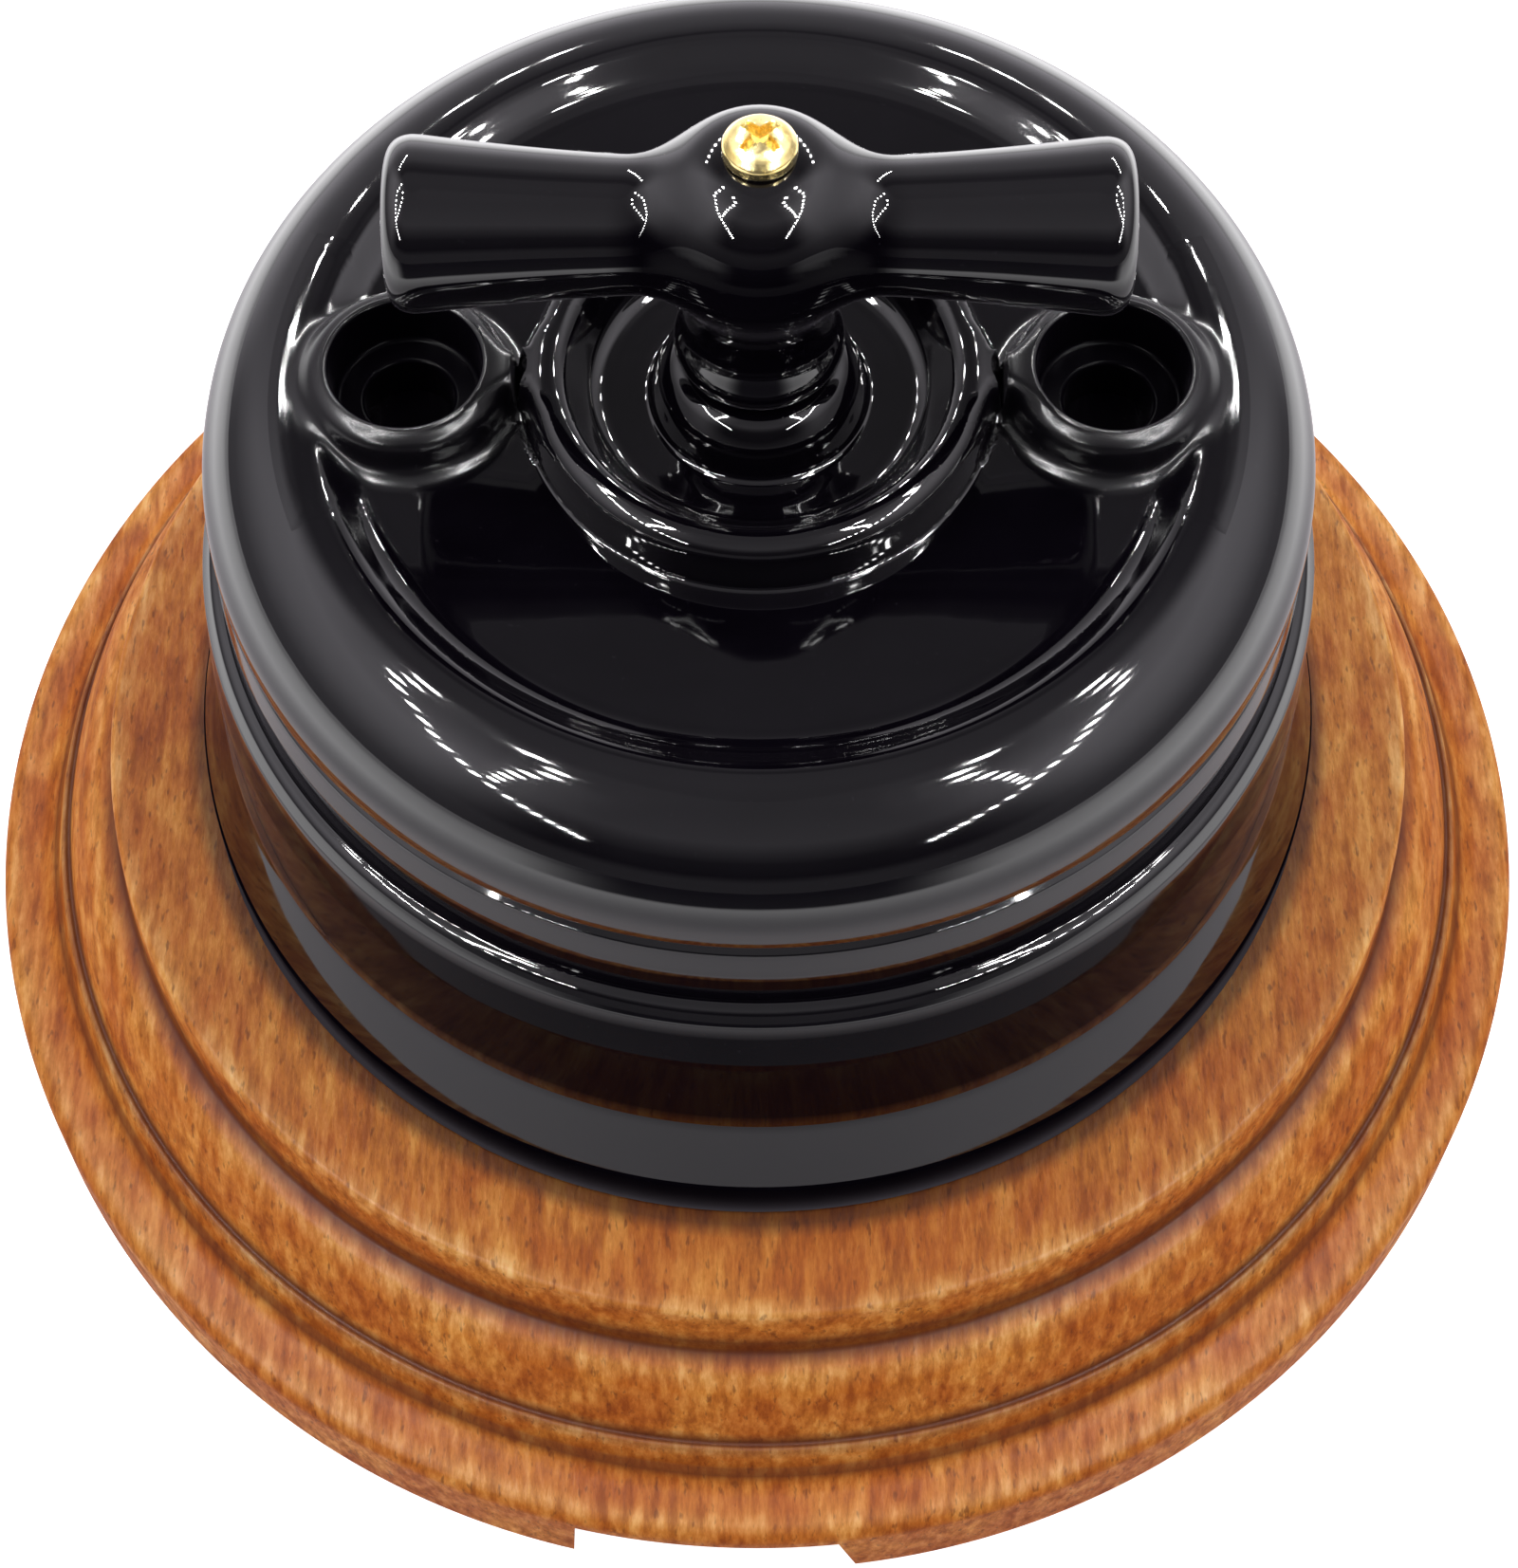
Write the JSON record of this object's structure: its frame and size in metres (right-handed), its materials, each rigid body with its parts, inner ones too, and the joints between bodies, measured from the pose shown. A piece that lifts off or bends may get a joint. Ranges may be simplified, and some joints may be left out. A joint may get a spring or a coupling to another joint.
{
  "type": "porcelain rotary switch",
  "caption": "Surface-mounted rotary light switch: black glazed porcelain body and dog-bone handle on a stepped round wooden frame, with a quarter-turn click mechanism inside.",
  "frame": {"origin": "centre of the back face that lies on the wall, on the handle's axis", "axes": "+Z out of the wall along the handle's axis, +X along the handle at rest, the cable notch at -Y"},
  "size_m": [0.1, 0.1, 0.0739],
  "materials": {
    "stained_wood": "satin orange-brown stain",
    "black_glaze": "mirror gloss",
    "brass": "turned, lightly polished",
    "zinc_steel": "zinc plated",
    "bright_steel": "ground",
    "spring_steel": "blued strip",
    "steatite": "unglazed, cream",
    "bakelite": "dark brown moulding",
    "fibre": "red-brown fibre",
    "copper_rivet": "copper-brown"
  },
  "bodies": {
    "body": {"wooden_frame": "stained_wood", "porcelain_base": "black_glaze", "porcelain_cover": "black_glaze", "cover_screws": "zinc_steel", "cover_posts": "brass", "post_screws": "zinc_steel", "frame_screws": "zinc_steel", "contact_block": "steatite", "fixed_contacts": "brass", "terminal_blocks": "brass", "terminal_screws": "zinc_steel", "mechanism_bolts": "zinc_steel", "bridge_pillars": "brass", "bearing_plate": "zinc_steel", "mechanism_nuts": "zinc_steel", "spring_pins": "bright_steel", "detent_springs": "spring_steel", "lower_bush": "brass", "upper_bush": "brass", "thrust_washer": "fibre"},
    "rotor": {"handle": "black_glaze", "handle_screw": "brass", "handle_lock_washer": "zinc_steel", "switch_shaft": "bright_steel", "detent_cam": "bright_steel", "contact_carrier": "bakelite", "contact_bridge": "brass", "bridge_rivets": "copper_rivet", "retaining_ring": "bright_steel"}
  },
  "joints": [
    {"name": "handle_turn", "type": "hinge", "parent": "body", "child": "rotor", "pos_m": [0, 0, 0.06], "axis": [0, 0, 1], "continuous": true, "deforming": ["detent_springs"]}
  ]
}
